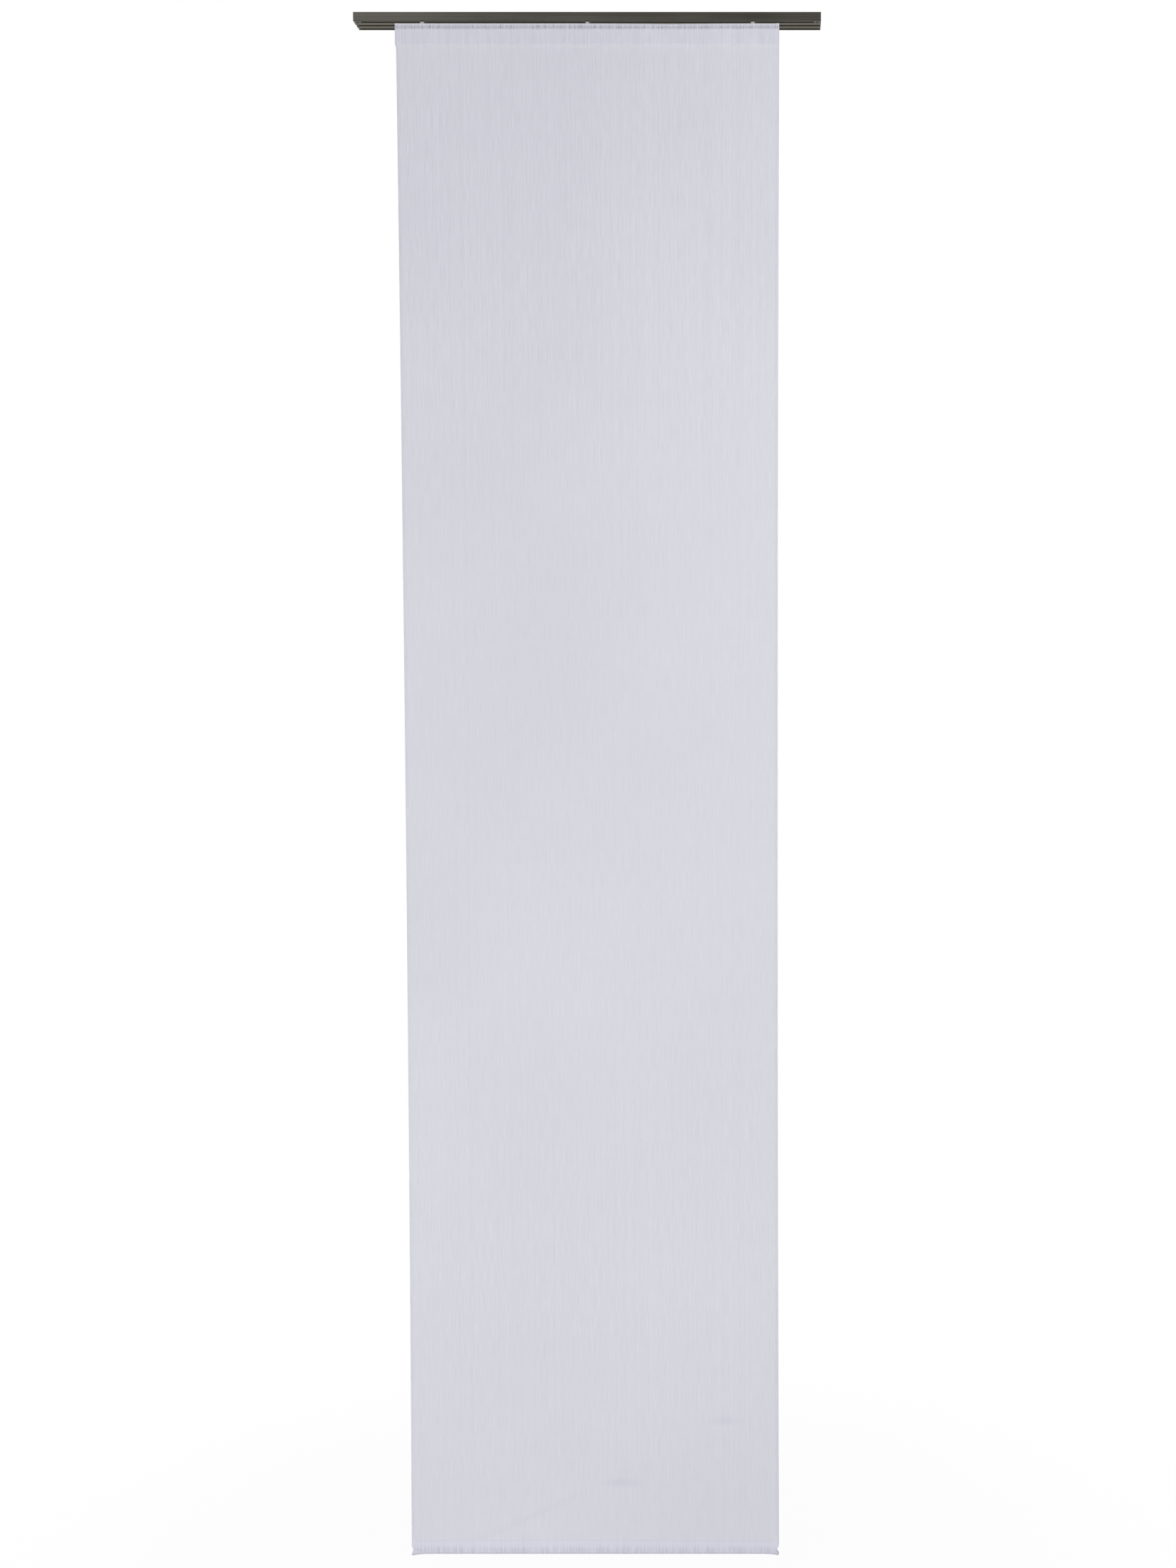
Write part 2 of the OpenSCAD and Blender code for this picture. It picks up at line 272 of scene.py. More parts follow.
tree.links.new(floor_mix.outputs[0], floor_out.inputs["Surface"])
floor_mesh.materials.append(floor_finish)
print("floor finish:", floor_finish.name, "with the shadow gone at", SHADOW_GONE, "m")

# %% [markdown]
# ## Shared effects as node groups
# Several finishes use the same effect with other values: the rail, the carriage and the bar are all drawn or
# brushed along their length, the small white and black parts all have a moulded skin, and cloth and tapes
# all have yarn. Each effect is built once as a node group. A group gives out only values that change over
# the surface, and each material decides what to do with them.

# %% Define the steps for groups
NOISE_LOW = 0.3
NOISE_HIGH = 0.7


def start_group(name, values, outputs):
    """Make a group that takes a place and some values, and gives out other values."""
    group = bpy.data.node_groups.new(name, "ShaderNodeTree")
    group.interface.new_socket("Vector", in_out="INPUT", socket_type="NodeSocketVector")
    for label, value in values.items():
        socket = group.interface.new_socket(label, in_out="INPUT", socket_type="NodeSocketFloat")
        socket.default_value = value
    for label in outputs:
        group.interface.new_socket(label, in_out="OUTPUT", socket_type="NodeSocketFloat")
    print("group", name, "gives", outputs)
    return group, group.nodes.new("NodeGroupInput").outputs, group.nodes.new("NodeGroupOutput").inputs


def noise_node(tree, place, scale, detail, flat=False):
    """Add a noise texture, in the plane of the cloth if it is flat."""
    node = tree.nodes.new("ShaderNodeTexNoise")
    if flat:
        node.noise_dimensions = "2D"
    node.inputs["Detail"].default_value = detail
    feed(tree, node.inputs["Scale"], scale)
    tree.links.new(place, node.inputs["Vector"])
    return node


def full_range(tree, texture, low=NOISE_LOW, high=NOISE_HIGH):
    """Stretch a noise, which keeps near its middle, to the full range of 0 to 1."""
    return remap(tree, texture.outputs["Fac"], low, high, 0.0, 1.0)


print("a noise is stretched from", NOISE_LOW, "and", NOISE_HIGH, "to the full range")

# %% [markdown]
# ### Brushed grain
# Brushing leaves fine lines that run the length of the metal. Noise on coordinates that are squeezed along X
# and stretched across it gives such lines; a second, larger noise gives the slow change of tone along a bar.

# %% Build the brushed grain group
tree, given, result = start_group(
    "brushed grain",
    {"Along": 6.0, "Across": 900.0},
    ["Grain", "Cloud"],
)
drawn_out = stretch(tree, given["Vector"], given["Along"], given["Across"], given["Across"])
lines = noise_node(tree, drawn_out, scale=1.0, detail=3.0)
cloud = noise_node(tree, given["Vector"], scale=9.0, detail=2.0)
feed(tree, result["Grain"], full_range(tree, lines))
feed(tree, result["Cloud"], full_range(tree, cloud))
brushed_grain = tree

# %% [markdown]
# ### Moulded skin
# A moulded part copies its spark-eroded mould: a fine even grain, with slow flow marks where the melt met.

# %% Build the moulded skin group
tree, given, result = start_group("moulded skin", {"Size": 2200.0}, ["Grain", "Flow"])
grain = noise_node(tree, given["Vector"], scale=given["Size"], detail=2.0)
flow = noise_node(tree, given["Vector"], scale=110.0, detail=2.0)
flow.inputs["Distortion"].default_value = 1.2
feed(tree, result["Grain"], full_range(tree, grain))
feed(tree, result["Flow"], full_range(tree, flow))
moulded_skin = tree

# %% [markdown]
# ### Yarn
# Woven cloth has warp yarns that run down and weft yarns that run across, each passing over and under the
# other. Two sine waves give the round backs of the yarns, and the sign of their product says which one lies
# on top. Spun yarn is never even, so a noise that is drawn out along the warp gives thick and thin streaks.

# %% Build the yarn group
tree, given, result = start_group(
    "yarn weave",
    {"Warp": 1500.0, "Weft": 1200.0, "Streaks": 450.0, "Draw": 3.0},
    ["Height", "Streak", "Cloud"],
)
split = tree.nodes.new("ShaderNodeSeparateXYZ")
feed(tree, split.inputs[0], given["Vector"])
warp_turn = times(tree, times(tree, split.outputs["X"], given["Warp"]), math.pi)
weft_turn = times(tree, times(tree, split.outputs["Y"], given["Weft"]), math.pi)
warp_wave = math_node(tree, "SINE", warp_turn)
weft_wave = math_node(tree, "SINE", weft_turn)
over = tree.nodes.new("ShaderNodeMix")
warp_on_top = math_node(tree, "GREATER_THAN", times(tree, warp_wave, weft_wave), 0.0)
feed(tree, over.inputs["Factor"], warp_on_top)
feed(tree, over.inputs["A"], math_node(tree, "ABSOLUTE", weft_wave))
feed(tree, over.inputs["B"], math_node(tree, "ABSOLUTE", warp_wave))
feed(tree, result["Height"], over.outputs["Result"])
drawn_out = stretch(tree, given["Vector"], given["Streaks"], given["Draw"], 0.0)
streak = noise_node(tree, drawn_out, scale=1.0, detail=2.0, flat=True)
feed(tree, result["Streak"], full_range(tree, streak, low=0.28, high=0.72))
cloud = noise_node(tree, given["Vector"], scale=2.4, detail=3.0, flat=True)
feed(tree, result["Cloud"], full_range(tree, cloud))
yarn_weave = tree

# %% [markdown]
# ## Steps in a finish
# A finish starts from the standard surface shader, whose constants are set on it. A shared effect is placed
# with values of its own. A CAD part then gets the finished material, and its shape is left alone.

# %% Define how a finish starts and where it goes
def start_finish(name, metallic, specular=0.5):
    """Make a material and return it with its nodes and its shader."""
    finish = bpy.data.materials.new(name)
    finish.use_nodes = True
    shader = finish.node_tree.nodes["Principled BSDF"]
    shader.inputs["Metallic"].default_value = metallic
    shader.inputs["Specular IOR Level"].default_value = specular
    return finish, finish.node_tree, shader


def place_group(tree, group, place, **values):
    """Put a group into a material with values of its own, and return what it gives out."""
    node = tree.nodes.new("ShaderNodeGroup")
    node.node_tree = group
    tree.links.new(place, node.inputs["Vector"])
    for label, value in values.items():
        node.inputs[label.capitalize()].default_value = value
    return node.outputs


def dress(finish, *names):
    """Give a finish to CAD parts."""
    for name in names:
        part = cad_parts[name]
        if not part.material_slots:
            part.data.materials.append(finish)
        for part_slot in part.material_slots:
            part_slot.material = finish
    print(finish.name, "is on", ", ".join(names))


print("finish steps:", start_finish.__name__, place_group.__name__, dress.__name__)

# %% [markdown]
# ### Colour, roughness and relief
# What changes over the surface is linked into the shader: a colour between two colours, a roughness between
# two limits, and a relief that only tilts the shading.

# %% Define what changes over a surface
def plus(tree, first, second):
    """Add two values."""
    return math_node(tree, "ADD", first, second)


def tint(tree, value, first, second, blend="MIX"):
    """Lay a second colour over a first, which may be a socket, as far as a value of 0 to 1 says."""
    node = tree.nodes.new("ShaderNodeMix")
    node.data_type = "RGBA"
    node.blend_type = blend
    if isinstance(first, tuple):
        node.inputs["A"].default_value = (*first, 1.0)
    else:
        tree.links.new(first, node.inputs["A"])
    node.inputs["B"].default_value = (*second, 1.0)
    tree.links.new(value, node.inputs["Factor"])
    return node.outputs["Result"]


def roughen(tree, shader, value, smoothest, roughest):
    """Let a value of 0 to 1 set the roughness between two limits."""
    feed(tree, shader.inputs["Roughness"], remap(tree, value, 0.0, 1.0, smoothest, roughest))


def relief(tree, shader, height, strength, distance):
    """Let a height value tilt the shading normal."""
    bump = tree.nodes.new("ShaderNodeBump")
    bump.inputs["Strength"].default_value = strength
    bump.inputs["Distance"].default_value = distance
    tree.links.new(height, bump.inputs["Height"])
    tree.links.new(bump.outputs["Normal"], shader.inputs["Normal"])


print("finish steps:", plus.__name__, tint.__name__, roughen.__name__, relief.__name__)

# %% [markdown]
# ## The rail's finish
# The rail is extruded aluminium, brushed along its length and anodised dark bronze. Anodised metal still
# reflects as metal, so it is a metallic surface with a dark, warm base. The grain changes colour and
# roughness a little, and a fine bump spreads the reflections across the lines.

# %% Dress the rail
BRONZE_DARK = (0.034, 0.032, 0.026)
BRONZE_LIGHT = (0.075, 0.071, 0.061)
GRAIN_SHARE = 0.7
CLOUD_SHARE = 0.3
bronze, tree, shader = start_finish("bronze_anodised", metallic=1.0)
grain = place_group(tree, brushed_grain, object_place(tree), along=5.0, across=1100.0)
tone = plus(tree, times(tree, grain["Grain"], GRAIN_SHARE), times(tree, grain["Cloud"], CLOUD_SHARE))
feed(tree, shader.inputs["Base Color"], tint(tree, tone, BRONZE_DARK, BRONZE_LIGHT))
shader.inputs["Specular Tint"].default_value = (0.86, 0.83, 0.76, 1.0)
roughen(tree, shader, grain["Grain"], 0.30, 0.46)
relief(tree, shader, grain["Grain"], strength=0.25, distance=0.06 * MM)
dress(bronze, "rail_profile")

# %% [markdown]
# ## Finishes of the small parts
# The stops are black moulded nylon, and the gliders, plugs and caps natural white moulded plastic. One
# function makes both, since only the colour and the shine differ.

# %% Dress the moulded parts
def moulded(name, dark, light, smoothest, roughest):
    """A moulded plastic with grain in its relief and roughness, and flow marks in its colour."""
    finish, tree, shader = start_finish(name, metallic=0.0)
    skin = place_group(tree, moulded_skin, object_place(tree), size=2400.0)
    feed(tree, shader.inputs["Base Color"], tint(tree, skin["Flow"], dark, light))
    roughen(tree, shader, skin["Grain"], smoothest, roughest)
    relief(tree, shader, skin["Grain"], strength=0.3, distance=0.05 * MM)
    return finish


white_moulding = moulded("white_moulding", (0.74, 0.74, 0.76), (0.83, 0.83, 0.84),
                         smoothest=0.34, roughest=0.48)
black_moulding = moulded("black_moulding", (0.014, 0.014, 0.015), (0.026, 0.026, 0.027),
                         smoothest=0.42, roughest=0.60)
dress(white_moulding, "glider_left", "glider_centre", "glider_right")
dress(white_moulding, "carriage_plug_left", "carriage_plug_right", "bar_cap_left", "bar_cap_right")
dress(black_moulding, "end_stop_left", "end_stop_right")

# %% [markdown]
# ### Bare metal
# The carriage is thin mill-finish aluminium, straight from the die. The weight bar is drawn steel strip and
# the grub screws are turned steel, both zinc plated. All three keep fine lines from their making, so they
# share the brushed grain. On the small screws it is as fine along as across.

# %% Dress the carriage, the bar and the screws
def bare_metal(name, dark, light, smoothest, roughest, along, across):
    """A bare metal with drawing lines along X and clouds of slightly other tone."""
    finish, tree, shader = start_finish(name, metallic=1.0)
    grain = place_group(tree, brushed_grain, object_place(tree), along=along, across=across)
    feed(tree, shader.inputs["Base Color"], tint(tree, grain["Cloud"], dark, light))
    roughen(tree, shader, grain["Grain"], smoothest, roughest)
    relief(tree, shader, grain["Grain"], strength=0.2, distance=0.06 * MM)
    return finish


aluminium = bare_metal("mill_aluminium", (0.46, 0.46, 0.47), (0.56, 0.56, 0.57),
                       smoothest=0.38, roughest=0.54, along=8.0, across=1400.0)
zinc_bar = bare_metal("zinc_bar", (0.16, 0.16, 0.17), (0.24, 0.24, 0.25),
                      smoothest=0.34, roughest=0.52, along=30.0, across=700.0)
zinc_screw = bare_metal("zinc_screw", (0.46, 0.47, 0.50), (0.62, 0.63, 0.66),
                        smoothest=0.22, roughest=0.36, along=900.0, across=900.0)
dress(aluminium, "carriage_profile")
dress(zinc_bar, "weight_bar")
dress(zinc_screw, "end_stop_screw_left", "end_stop_screw_right")

# %% [markdown]
# ## Hook and loop tape
# The stiff hook side is glued to the carriage and the soft loop side is sewn to the heading. Thousands of
# tiny hooks or loops are too small to model, so a cell pattern raises them in the bump: small and even for
# the hooks, larger and tangled for the loops.

# %% Dress the tapes
def tape(name, dark, light, cells, jitter, height):
    """A woven tape with hooks or loops standing on it."""
    finish, tree, shader = start_finish(name, metallic=0.0, specular=0.25)
    place = object_place(tree)
    weave = place_group(tree, yarn_weave, place, warp=1600.0, weft=1600.0)
    pile = tree.nodes.new("ShaderNodeTexVoronoi")
    pile.inputs["Scale"].default_value = cells
    pile.inputs["Randomness"].default_value = jitter
    tree.links.new(place, pile.inputs["Vector"])
    tuft = remap(tree, pile.outputs["Distance"], 0.0, 0.7, 1.0, 0.0)
    # Painted shade: the tape is darker at the feet of the hooks or loops and lighter on their tops.
    feed(tree, shader.inputs["Base Color"], tint(tree, tuft, dark, light))
    roughen(tree, shader, weave["Streak"], 0.72, 0.92)
    relief(tree, shader, tuft, strength=0.8, distance=height)
    shader.inputs["Sheen Weight"].default_value = 0.15
    return finish


hook_pile = tape("hook_pile", (0.62, 0.62, 0.63), (0.80, 0.80, 0.81),
                 cells=900.0, jitter=0.35, height=0.4 * MM)
loop_pile = tape("loop_pile", (0.66, 0.66, 0.68), (0.82, 0.82, 0.84),
                 cells=650.0, jitter=1.0, height=0.6 * MM)
dress(hook_pile, "hook_tape")
dress(loop_pile, "loop_tape")

# %% [markdown]
# ## The cloth: first the cut
# A maker cuts a flat rectangle, turns a narrow hem at both sides, folds the top over the loop tape and the
# bottom round the weight bar, and sews. The cloth here is made the same way. A flat grid stands for the cut
# piece, and one function hangs it: it says where each point of the cut comes to lie. A cloth simulation
# would sag and stretch a panel that in fact hangs dead straight; mapping the cut keeps its length.
#
# A layer is the step from the middle of one thickness of cloth to the next, and the skin is half a
# thickness. The pocket is the part of the tunnel that goes round the bar.

# %% Measure what the cloth is sewn to
cloth_low, cloth_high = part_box("curtain_fabric")
tape_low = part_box("loop_tape")[0]
HALF_WIDTH = cloth_high.x
TOP = cloth_high.z
FOLD = cloth_low.z
LAYER = 0.5 * MM
SKIN = 0.2 * MM
TOP_HEM = 33 * MM
TUNNEL = 23 * MM
POCKET_RADIUS = 3.15 * MM
POCKET_STRAIGHT = 7 * MM
HEADROOM = 1.3 * MM
HEM_END = TOP - TOP_HEM
HANGING = HEM_END - FOLD
HEM_MIDDLE = tape_low.y - LAYER
FRONT = HEM_MIDDLE - LAYER / 2
BACK = HEM_MIDDLE + LAYER / 2
print("panel", round(2 * HALF_WIDTH, 3), "m wide and", round(TOP - FOLD, 3), "m long")

# %% [markdown]
# ## The cut line
# Seen from the side, the cloth is one long line: up the back of the heading, over the top, down the front,
# round the bar and up the back of the tunnel. The line is walked in rows. They are close together where
# something happens, at the hems, the dents and the crease, and far apart where the cloth hangs plain.

# %% Walk the cut line
BELOW_HEM = TOP - 51 * MM
# Heights above the bottom fold in mm, each with the rows that lead down to it.
FRONT_STOPS = ((300, 30), (236, 9), (206, 11), (134, 9), (102, 11), (23, 13))
cut_line = [(BACK, HEM_END)]


def run_to(y, z, rows):
    """Carry the line straight on to a point, in even rows."""
    start_y, start_z = cut_line[-1]
    for row in range(1, rows + 1):
        share = row / rows
        cut_line.append((start_y + share * (y - start_y), start_z + share * (z - start_z)))


def turn_round(centre_z, radius, start, end, rows):
    """Carry the line round an arc whose centre lies between the layers."""
    for row in range(1, rows + 1):
        angle = math.radians(start + (end - start) * row / rows)
        cut_line.append((HEM_MIDDLE + radius * math.cos(angle), centre_z + radius * math.sin(angle)))


crown = TOP - HEADROOM - SKIN - LAYER / 2
seat = FOLD + SKIN + POCKET_RADIUS
run_to(BACK, crown, 7)
turn_round(crown, LAYER / 2, 0, 180, 4)
front_row = len(cut_line) - 1
run_to(FRONT, HEM_END, 11)
run_to(FRONT, BELOW_HEM, 6)
for stop, rows in FRONT_STOPS:
    run_to(FRONT, FOLD + stop * MM, rows)
run_to(HEM_MIDDLE - POCKET_RADIUS, seat + POCKET_STRAIGHT, 6)
run_to(HEM_MIDDLE - POCKET_RADIUS, seat, 4)
turn_round(seat, POCKET_RADIUS, 180, 360, 10)
run_to(HEM_MIDDLE + POCKET_RADIUS, seat + POCKET_STRAIGHT, 4)
run_to(BACK, FOLD + TUNNEL, 6)
print("cut line has", len(cut_line) - 1, "rows, and the front starts at row", front_row)

# %% [markdown]
# ### How long the cut is
# The cut is as long as this line. Each row also gets the direction that faces outwards from the cloth, in
# which its ribs and its stitches will stand, and the two folds are found as its highest and lowest rows.

# %% Measure the cut line
row_lengths = [0.0]
for (y0, z0), (y1, z1) in zip(cut_line, cut_line[1:]):
    row_lengths.append(row_lengths[-1] + math.hypot(y1 - y0, z1 - z0))
row_normals = []
for row in range(len(cut_line)):
    y0, z0 = cut_line[max(row - 1, 0)]
    y1, z1 = cut_line[min(row + 1, len(cut_line) - 1)]
    row_normals.append(Vector((z1 - z0, y0 - y1)).normalized())
heights = [z for y, z in cut_line]
CUT_LENGTH = row_lengths[-1]
CROWN = row_lengths[heights.index(max(heights))]
LOW_FOLD = row_lengths[heights.index(min(heights))]
print("cut length", round(CUT_LENGTH, 4), "m, with folds at", round(CROWN, 4), "and", round(LOW_FOLD, 4), "m")

# %% [markdown]
# ## The columns
# Across the panel the columns are as wide as the ribs that show in the cloth, about 2 mm. At each side a few
# narrow columns go round the fold of the side hem and on behind the front.

# %% Space the columns
RIBS = 316
FOLD_STEPS = 4
STRIP_STEPS = 2
SIDE_FOLD = HALF_WIDTH - SKIN - LAYER / 2
SIDE_STRIP = 4.0 * MM
FOLD_LENGTH = math.pi * LAYER / 2
plain_columns = [SIDE_FOLD * (2 * column / RIBS - 1) for column in range(RIBS + 1)]
side_columns = [SIDE_FOLD + FOLD_LENGTH * step / FOLD_STEPS for step in range(1, FOLD_STEPS + 1)]
for step in range(1, STRIP_STEPS + 1):
    side_columns.append(SIDE_FOLD + FOLD_LENGTH + SIDE_STRIP * step / STRIP_STEPS)
columns = [-x for x in reversed(side_columns)] + plain_columns + side_columns

# %% [markdown]
# ## Soft steps and humps
# Cloth has no sharp corners. Each small form below is a step or a hump with soft ends.

# %% Define a soft step and a soft hump
def smooth(start, end, value):
    """Rise smoothly from 0 at start to 1 at end."""
    share = min(max((value - start) / (end - start), 0.0), 1.0)
    return share * share * (3 - 2 * share)


def bell(value, centre, width):
    """A soft hump of height 1."""
    return math.exp(-(((value - centre) / width) ** 2))


print("half a step is", smooth(0.0, 1.0, 0.5), "and the foot of a hump", round(bell(1.0, 0.0, 0.5), 3))

# %% [markdown]
# ## Yarn thickness
# Each column stands for a small bundle of warp yarns. Some bundles are thicker than others, and each swells
# and thins along its length, slowly and in short runs. The same number raises the rib in the mesh and, kept
# as an attribute, tells the material how closely the cloth is woven there.

# %% Draw the yarn thickness
YARN_BASE = 0.25
OWN_SHARE = 0.50
SLOW_SHARE = 0.34
QUICK_SHARE = 0.22
SLOW_PLACE = (3.71, 2.3, 1.5)
QUICK_PLACE = (5.13, 11.0, 7.5)
yarn_seed = random.Random(41)
column_weight = [yarn_seed.random() for column in columns]


def noise_at(across, along, scale):
    """Return a smooth noise whose scale names both steps and the layer of the noise."""
    return noise.noise(Vector((across * scale[0], along * scale[1], scale[2])))


def yarn_at(column, along):
    """Return the yarn thickness, from 0 to 1, of a column at a place along the cut."""
    own = OWN_SHARE * column_weight[column] + YARN_BASE
    slow = SLOW_SHARE * noise_at(column, along, SLOW_PLACE)
    quick = QUICK_SHARE * noise_at(column, along, QUICK_PLACE)
    return min(max(own + slow + quick, 0.0), 1.0)


sample = [yarn_at(column, CUT_LENGTH / 2) for column in range(len(columns))]
print("yarn thickness from", round(min(sample), 2), "to", round(max(sample), 2))

# %% [markdown]
# ### Where the ribs show
# The ribs are crisp in the upper part of the panel and in its tunnel. They show a little low down, and hardly
# at all in between, where the light falls straight on the cloth. They stand highest just below the heading.

# %% Say where the ribs are crisp and how high they stand
LEAST_CRISP = 0.25
LOW_RIBS = 0.35
PLAIN_RIB = 0.05
UPPER_RIB = 0.12
TOP_RIB = 0.18


def crisp_at(height):
    """How clearly the ribs show at a height above the bottom fold, up to 1."""
    upper = smooth(1.55, 2.3, height)
    lower = LOW_RIBS * bell(height, 0.45, 0.30)
    tunnel = 1 - smooth(9 * MM, 17 * MM, height)
    return LEAST_CRISP + (1 - LEAST_CRISP) * max(upper, lower, tunnel)


def rib_height_at(height):
    """How far a full rib stands off the cloth at a height above the bottom fold."""
    upper = UPPER_RIB * smooth(1.6, 2.2, height)
    top = TOP_RIB * smooth(2.2, 2.4, height)
    return (PLAIN_RIB + upper + top) * MM


print("ribs stand", [round(rib_height_at(height) / MM, 2) for height in (0.0, 1.2, 2.4)], "mm high")

# %% [markdown]
# ## Waves, crease and dents
# A hung panel is never quite flat. Slow waves run through the free cloth. A crease rises slantwise from the
# lower left, from when the panel was folded, and two small dents were pressed in low down. Below the
# heading, where only one layer is left, the front settles back a little. All depths here are in mm.

# %% Define the slow waves and the crease
BROAD_WAVE = 1.1
SMALL_WAVE = 0.5
HELD_BELOW_HEM = 0.25
HELD_ABOVE_BAR = 0.12
CREASE_X = -192 * MM
CREASE_HEIGHT = 29 * MM
CREASE_RISE = 0.46
FAINT = 0.65
RIDGE = 1.85
HOLLOW = 1.25


def wave_at(x, height):
    """Slow waves, which are held at the heading and by the bar."""
    free = smooth(0.0, HELD_BELOW_HEM, HANGING - height) * smooth(0.0, HELD_ABOVE_BAR, height)
    broad = BROAD_WAVE * noise_at(x, height, (3.0, 1.1, 3.0))
    small = SMALL_WAVE * noise_at(x, height, (9.0, 2.4, 8.0))
    return free * (broad + small)


def crease_at(x, height):
    """The slanting crease: a narrow ridge, with a wider hollow below it, that grows fainter to the right."""
    slope = (height - CREASE_HEIGHT) - (x - CREASE_X) * CREASE_RISE
    run = smooth(-250 * MM, -190 * MM, x) * (1 - smooth(100 * MM, 190 * MM, x))
    run *= (1 - FAINT * smooth(-70 * MM, 20 * MM, x)) * smooth(14 * MM, 28 * MM, height)
    return RIDGE * run * bell(slope, 0.0, 7 * MM) - HOLLOW * run * bell(slope, -15 * MM, 12 * MM)


print("at its start the crease stands", round(crease_at(CREASE_X, CREASE_HEIGHT), 2), "mm in front")

# %% [markdown]
# ### Dents
# A dent is short and flat, as if a thumb had slid along it. It is kept as an attribute too, because painted
# shade darkens the cloth's colour in it. Each dent has a place across, a height and a half length.

# %% Define the dents and sum up the bends
DENTS = ((46 * MM, 117 * MM, 26 * MM), (213 * MM, 221 * MM, 20 * MM))
DENT_HEIGHT = 5.5 * MM
DENT_DEPTH = 1.8
SETTLE = 0.9


def dented(x, height):
    """How far a place lies in one of the small dents, from 0 to 1."""
    return sum(bell(x, across, reach) * bell(height, level, DENT_HEIGHT) for across, level, reach in DENTS)


def waver(x, height):
    """How far the whole thickness of the cloth stands in front of its plane."""
    settle = SETTLE * smooth(0.0, 5 * MM, HANGING - height) * smooth(0.0, 0.4, height)
    return MM * (wave_at(x, height) + crease_at(x, height) - DENT_DEPTH * dented(x, height) - settle)


print("the dents lie back", [round(-waver(x, level) / MM, 2) for x, level, reach in DENTS], "mm")

# %% [markdown]
# ## Folds
# The side hems fold in behind the front. The cut line gives the rest: a point's depth and height follow from
# how far along the cut it lies.

# %% Define the folds
def on_cut_line(along):
    """Return the depth, height and outward direction of the cut line at a length along it."""
    row = min(max(bisect.bisect_right(row_lengths, along) - 1, 0), len(cut_line) - 2)
    share = (along - row_lengths[row]) / (row_lengths[row + 1] - row_lengths[row])
    y = cut_line[row][0] + share * (cut_line[row + 1][0] - cut_line[row][0])
    z = cut_line[row][1] + share * (cut_line[row + 1][1] - cut_line[row][1])
    return y, z, row_normals[row].lerp(row_normals[row + 1], share)


def round_side_hem(across):
    """Return how far sideways and how far behind the face a point of the cut comes to lie."""
    past = abs(across) - SIDE_FOLD
    if past <= 0:
        return across, 0.0
    angle = min(past / (LAYER / 2), math.pi)
    beyond = max(past - FOLD_LENGTH, 0.0)
    sideways = SIDE_FOLD + LAYER / 2 * math.sin(angle) - beyond
    return math.copysign(sideways, across), LAYER / 2 * (1 - math.cos(angle))


# %% [markdown]
# ## Pulled edges
# The edges are drawn in a little at mid-height, more so on the left. At the bottom corners the tunnel is
# pulled in beside the caps, and its tips flare and hang lower. The top fold dips between two gliders. These
# pulls are in mm too.

# %% Define the pulled edges
WAIST = 2.6
LEFT_PULL = 1.5
NOTCH_LEFT = 2.7
NOTCH_RIGHT = 3.8
FLARE = 0.9
DIP = 0.7
TIP_LEFT = 2.0
TIP_RIGHT = 1.5


def pulled_in(x, height, z):
    """How far a place moves towards the middle of the panel, with its sign."""
    middle = min(max(height / HANGING, 0.0), 1.0)
    drawn_in = WAIST * math.sin(math.pi * middle) ** 0.8
    if x < 0:
        drawn_in += LEFT_PULL * smooth(0.0, 6 * MM, HEM_END - z) * middle
    edge = smooth(284 * MM, HALF_WIDTH, abs(x))
    notch = (NOTCH_RIGHT if x > 0 else NOTCH_LEFT) * edge * bell(height, 8 * MM, 4.5 * MM)
    flare = FLARE * edge * bell(height, 0.0, 3.0 * MM)
    return MM * (drawn_in * x / HALF_WIDTH + math.copysign(notch - flare, x))


def let_down(x, height, z):
    """How far a place hangs lower, at the dip of the top fold and at the tips of the tunnel."""
    dip = DIP * bell(x, 130 * MM, 75 * MM) * smooth(TOP - 9 * MM, TOP - 2 * MM, z)
    corner = smooth(268 * MM, HALF_WIDTH, abs(x)) ** 2
    tip = (TIP_LEFT if x < 0 else TIP_RIGHT) * corner * bell(height, 0.0, 7 * MM)
    return MM * (tip + dip)


print("tips hang lower by", [round(let_down(x, 0.0, FOLD) / MM, 1) for x in (-HALF_WIDTH, HALF_WIDTH)], "mm")

# %% [markdown]
# ## Hanging the cut
# The function below is the whole drape. It takes a point of the cut, given across, along and by its lift off
# the cloth, and returns where it hangs. It keeps the layers apart where four of them meet in the corners,
# lets the tunnel hug the bar and leaves it slack round the thicker caps, and adds the bends and pulls.

# %% Define how the cloth hangs
HUG = 0.30
APART = 0.5 * MM
APART_MORE = 0.2 * MM
CAP_NEAR = 262 * MM
CAP_FULL = 279 * MM
STRIP_EDGE = 295.0 * MM
STRIP_FULL = 295.6 * MM


def hang(across, along, lift=0.0):
    """Return where a point of the flat cut hangs."""
    x, inside = round_side_hem(across)
    y, z, outward = on_cut_line(along)
    height = z - FOLD
    low = 1 - smooth(TUNNEL, TUNNEL + 6 * MM, height)
    doubled = max(smooth(HEM_END - 5 * MM, HEM_END, z), low)
    apart = (APART + APART_MORE * outward.x) * doubled * smooth(STRIP_EDGE, STRIP_FULL, abs(x))
    slack = smooth(CAP_NEAR, CAP_FULL, abs(x))
    y = HEM_MIDDLE + (y - HEM_MIDDLE) * (1 - HUG * low * (1 - slack))
    out = lift - inside + apart
    y += outward.x * out - waver(x, height)
    z += outward.y * out
    x -= pulled_in(x, height, z)
    z -= let_down(x, height, z)
    return Vector((x, y, z))


print("top of the front hangs at", tuple(round(v, 4) for v in hang(0.0, row_lengths[front_row])))

# %% [markdown]
# ## Making the cloth
# A flat grid has a column for each rib and a row for each row of the cut line. Each point keeps its place on
# the flat cut as a UV coordinate in metres, so that the weave follows the cloth through its folds, and is
# then hung. Only what faces the room gets raised ribs.

